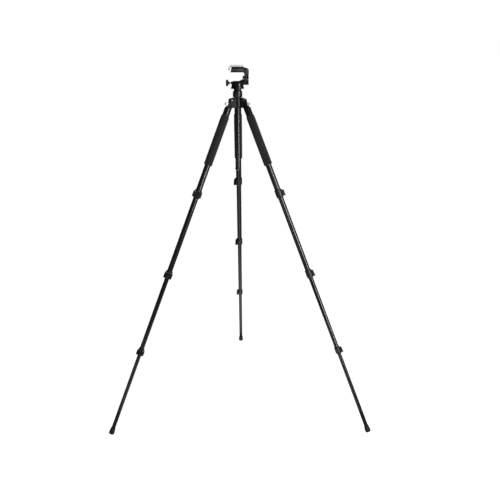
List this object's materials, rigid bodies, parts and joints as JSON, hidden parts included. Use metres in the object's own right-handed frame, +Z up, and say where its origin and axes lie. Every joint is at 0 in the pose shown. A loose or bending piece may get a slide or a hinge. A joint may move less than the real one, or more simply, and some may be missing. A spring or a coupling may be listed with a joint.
{
  "type": "camera tripod",
  "caption": "Photo tripod with telescoping flip-lock legs, foam grips, a sliding centre column and a side-arm pan and tilt head with a quick-release plate.",
  "frame": {"origin": "on the floor, at the centre of the outline of the three feet and head seen from above", "axes": "+Z up, the back leg towards +Y, the head's side arm on the +X side, the two front legs towards -Y"},
  "size_m": [1.1324, 0.9839, 1.5302],
  "materials": {
    "black_metal": "gloss black",
    "black_plastic": "fine matte",
    "foam": "closed-cell foam",
    "rubber": "matte",
    "silver": "satin",
    "steel": "plated",
    "pad": "fine grain",
    "tube": "gloss black anodised"
  },
  "bodies": {
    "spider": {"spider": "black_metal", "column_collet": "black_plastic", "leg_a_pivot_bolt": "steel", "leg_b_pivot_bolt": "steel", "leg_c_pivot_bolt": "steel"},
    "leg_a_upper": {"leg_a_top": "black_metal", "leg_a_foam_grip": "foam", "leg_a_tube_1": "tube", "leg_a_lock_1": "black_plastic"},
    "leg_a_second": {"leg_a_tube_2": "tube", "leg_a_lock_2": "black_plastic"},
    "leg_a_third": {"leg_a_tube_3": "tube", "leg_a_lock_3": "black_plastic"},
    "leg_a_end": {"leg_a_tube_4": "tube", "leg_a_foot": "rubber"},
    "leg_a_angle_tab": {"leg_a_angle_tab": "silver"},
    "leg_a_lever_1": {"leg_a_lever_1": "black_plastic"},
    "leg_a_lever_2": {"leg_a_lever_2": "black_plastic"},
    "leg_a_lever_3": {"leg_a_lever_3": "black_plastic"},
    "leg_b_upper": {"leg_b_top": "black_metal", "leg_b_foam_grip": "foam", "leg_b_tube_1": "tube", "leg_b_lock_1": "black_plastic"},
    "leg_b_second": {"leg_b_tube_2": "tube", "leg_b_lock_2": "black_plastic"},
    "leg_b_third": {"leg_b_tube_3": "tube", "leg_b_lock_3": "black_plastic"},
    "leg_b_end": {"leg_b_tube_4": "tube", "leg_b_foot": "rubber"},
    "leg_b_angle_tab": {"leg_b_angle_tab": "silver"},
    "leg_b_lever_1": {"leg_b_lever_1": "black_plastic"},
    "leg_b_lever_2": {"leg_b_lever_2": "black_plastic"},
    "leg_b_lever_3": {"leg_b_lever_3": "black_plastic"},
    "leg_c_upper": {"leg_c_top": "black_metal", "leg_c_foam_grip": "foam", "leg_c_tube_1": "tube", "leg_c_lock_1": "black_plastic"},
    "leg_c_second": {"leg_c_tube_2": "tube", "leg_c_lock_2": "black_plastic"},
    "leg_c_third": {"leg_c_tube_3": "tube", "leg_c_lock_3": "black_plastic"},
    "leg_c_end": {"leg_c_tube_4": "tube", "leg_c_foot": "rubber"},
    "leg_c_angle_tab": {"leg_c_angle_tab": "silver"},
    "leg_c_lever_1": {"leg_c_lever_1": "black_plastic"},
    "leg_c_lever_2": {"leg_c_lever_2": "black_plastic"},
    "leg_c_lever_3": {"leg_c_lever_3": "black_plastic"},
    "column": {"centre_column": "tube", "column_end_cap": "black_plastic", "pan_disc": "black_metal"},
    "column_lock": {"column_lock_knob": "black_metal"},
    "pan": {"pan_base": "black_metal"},
    "pan_lock": {"pan_lock_knob": "black_plastic", "pan_lock_shaft": "steel"},
    "tilt": {"tilt_platform": "black_metal", "camera_plate": "silver", "plate_pad": "pad"},
    "tilt_lock": {"tilt_knob": "black_plastic"},
    "plate_release": {"plate_release_lever": "silver"},
    "camera_screw": {"camera_screw": "steel"}
  },
  "joints": [
    {"name": "leg_a_spread", "type": "hinge", "parent": "spider", "child": "leg_a_upper", "pos_m": [-0.02728, -0.17575, 1.3884], "axis": [-0.5, 0.866, 0], "range_deg": [-23.6, 0]},
    {"name": "leg_a_slide_1", "type": "slide", "parent": "leg_a_upper", "child": "leg_a_second", "axis": [-0.3495, -0.2018, -0.915], "range_m": [-0.32, 0]},
    {"name": "leg_a_slide_2", "type": "slide", "parent": "leg_a_second", "child": "leg_a_third", "axis": [-0.3495, -0.2018, -0.915], "range_m": [-0.316, 0]},
    {"name": "leg_a_slide_3", "type": "slide", "parent": "leg_a_third", "child": "leg_a_end", "axis": [-0.3495, -0.2018, -0.915], "range_m": [-0.334, 0]},
    {"name": "leg_a_lever_1_flip", "type": "hinge", "parent": "leg_a_upper", "child": "leg_a_lever_1", "pos_m": [-0.16865, -0.27527, 1.02017], "axis": [-0.9362, 0.0368, 0.3495], "range_deg": [0, 110]},
    {"name": "leg_a_lever_2_flip", "type": "hinge", "parent": "leg_a_second", "child": "leg_a_lever_2", "pos_m": [-0.29585, -0.34721, 0.687], "axis": [-0.9362, 0.0368, 0.3495], "range_deg": [0, 110]},
    {"name": "leg_a_lever_3_flip", "type": "hinge", "parent": "leg_a_third", "child": "leg_a_lever_3", "pos_m": [-0.41979, -0.41727, 0.36235], "axis": [-0.9362, 0.0368, 0.3495], "range_deg": [0, 110]},
    {"name": "leg_a_angle_tab_pull", "type": "slide", "parent": "leg_a_upper", "child": "leg_a_angle_tab", "axis": [-0.7924, -0.4575, 0.4035], "range_m": [0, 0.005], "stiffness_N_per_m": 400, "springref_m": -0.002},
    {"name": "leg_b_spread", "type": "hinge", "parent": "spider", "child": "leg_b_upper", "pos_m": [0.02728, -0.17575, 1.3884], "axis": [-0.5, -0.866, 0], "range_deg": [-23.6, 0]},
    {"name": "leg_b_slide_1", "type": "slide", "parent": "leg_b_upper", "child": "leg_b_second", "axis": [0.3495, -0.2018, -0.915], "range_m": [-0.32, 0]},
    {"name": "leg_b_slide_2", "type": "slide", "parent": "leg_b_second", "child": "leg_b_third", "axis": [0.3495, -0.2018, -0.915], "range_m": [-0.316, 0]},
    {"name": "leg_b_slide_3", "type": "slide", "parent": "leg_b_third", "child": "leg_b_end", "axis": [0.3495, -0.2018, -0.915], "range_m": [-0.334, 0]},
    {"name": "leg_b_lever_1_flip", "type": "hinge", "parent": "leg_b_upper", "child": "leg_b_lever_1", "pos_m": [0.18415, -0.24842, 1.02017], "axis": [0.4362, -0.8292, 0.3495], "range_deg": [0, 110]},
    {"name": "leg_b_lever_2_flip", "type": "hinge", "parent": "leg_b_second", "child": "leg_b_lever_2", "pos_m": [0.31005, -0.32261, 0.687], "axis": [0.4362, -0.8292, 0.3495], "range_deg": [0, 110]},
    {"name": "leg_b_lever_3_flip", "type": "hinge", "parent": "leg_b_third", "child": "leg_b_lever_3", "pos_m": [0.4327, -0.39492, 0.36235], "axis": [0.4362, -0.8292, 0.3495], "range_deg": [0, 110]},
    {"name": "leg_b_angle_tab_pull", "type": "slide", "parent": "leg_b_upper", "child": "leg_b_angle_tab", "axis": [0.7924, -0.4575, 0.4035], "range_m": [0, 0.005], "stiffness_N_per_m": 400, "springref_m": -0.002},
    {"name": "leg_c_spread", "type": "hinge", "parent": "spider", "child": "leg_c_upper", "pos_m": [0, -0.1285, 1.3884], "axis": [1, 0, 0], "range_deg": [-23.6, 0]},
    {"name": "leg_c_slide_1", "type": "slide", "parent": "leg_c_upper", "child": "leg_c_second", "axis": [0, 0.4035, -0.915], "range_m": [-0.32, 0]},
    {"name": "leg_c_slide_2", "type": "slide", "parent": "leg_c_second", "child": "leg_c_third", "axis": [0, 0.4035, -0.915], "range_m": [-0.316, 0]},
    {"name": "leg_c_slide_3", "type": "slide", "parent": "leg_c_third", "child": "leg_c_end", "axis": [0, 0.4035, -0.915], "range_m": [-0.334, 0]},
    {"name": "leg_c_lever_1_flip", "type": "hinge", "parent": "leg_c_upper", "child": "leg_c_lever_1", "pos_m": [-0.0155, 0.04369, 1.02017], "axis": [0.5, 0.7924, 0.3495], "range_deg": [0, 110]},
    {"name": "leg_c_lever_2_flip", "type": "hinge", "parent": "leg_c_second", "child": "leg_c_lever_2", "pos_m": [-0.0142, 0.18981, 0.687], "axis": [0.5, 0.7924, 0.3495], "range_deg": [0, 110]},
    {"name": "leg_c_lever_3_flip", "type": "hinge", "parent": "leg_c_third", "child": "leg_c_lever_3", "pos_m": [-0.0129, 0.33218, 0.36235], "axis": [0.5, 0.7924, 0.3495], "range_deg": [0, 110]},
    {"name": "leg_c_angle_tab_pull", "type": "slide", "parent": "leg_c_upper", "child": "leg_c_angle_tab", "axis": [0, 0.915, 0.4035], "range_m": [0, 0.005], "stiffness_N_per_m": 400, "springref_m": -0.002},
    {"name": "column_height", "type": "slide", "parent": "spider", "child": "column", "axis": [0, 0, 1], "range_m": [0, 0.235]},
    {"name": "column_lock_twist", "type": "hinge", "parent": "spider", "child": "column_lock", "pos_m": [0, -0.16, 1.413], "axis": [0, 0, 1], "range_deg": [0, 120]},
    {"name": "pan", "type": "hinge", "parent": "column", "child": "pan", "pos_m": [0, -0.16, 1.4431], "axis": [0, 0, 1], "continuous": true},
    {"name": "pan_lock_twist", "type": "hinge", "parent": "pan", "child": "pan_lock", "pos_m": [-0.04, -0.16, 1.4584], "axis": [1, 0, 0], "range_deg": [0, 270]},
    {"name": "tilt", "type": "hinge", "parent": "pan", "child": "tilt", "pos_m": [0.0365, -0.16, 1.4803], "axis": [1, 0, 0], "range_deg": [-80, 80]},
    {"name": "tilt_lock_twist", "type": "hinge", "parent": "pan", "child": "tilt_lock", "pos_m": [0.025, -0.16, 1.4803], "axis": [1, 0, 0], "range_deg": [0, 180]},
    {"name": "plate_release_swing", "type": "hinge", "parent": "tilt", "child": "plate_release", "pos_m": [-0.0212, -0.1515, 1.5223], "axis": [0, 0, -1], "range_deg": [0, 50]},
    {"name": "camera_screw_turn", "type": "hinge", "parent": "tilt", "child": "camera_screw", "pos_m": [-0.0029, -0.16, 1.5204], "axis": [0, 0, 1], "continuous": true}
  ]
}
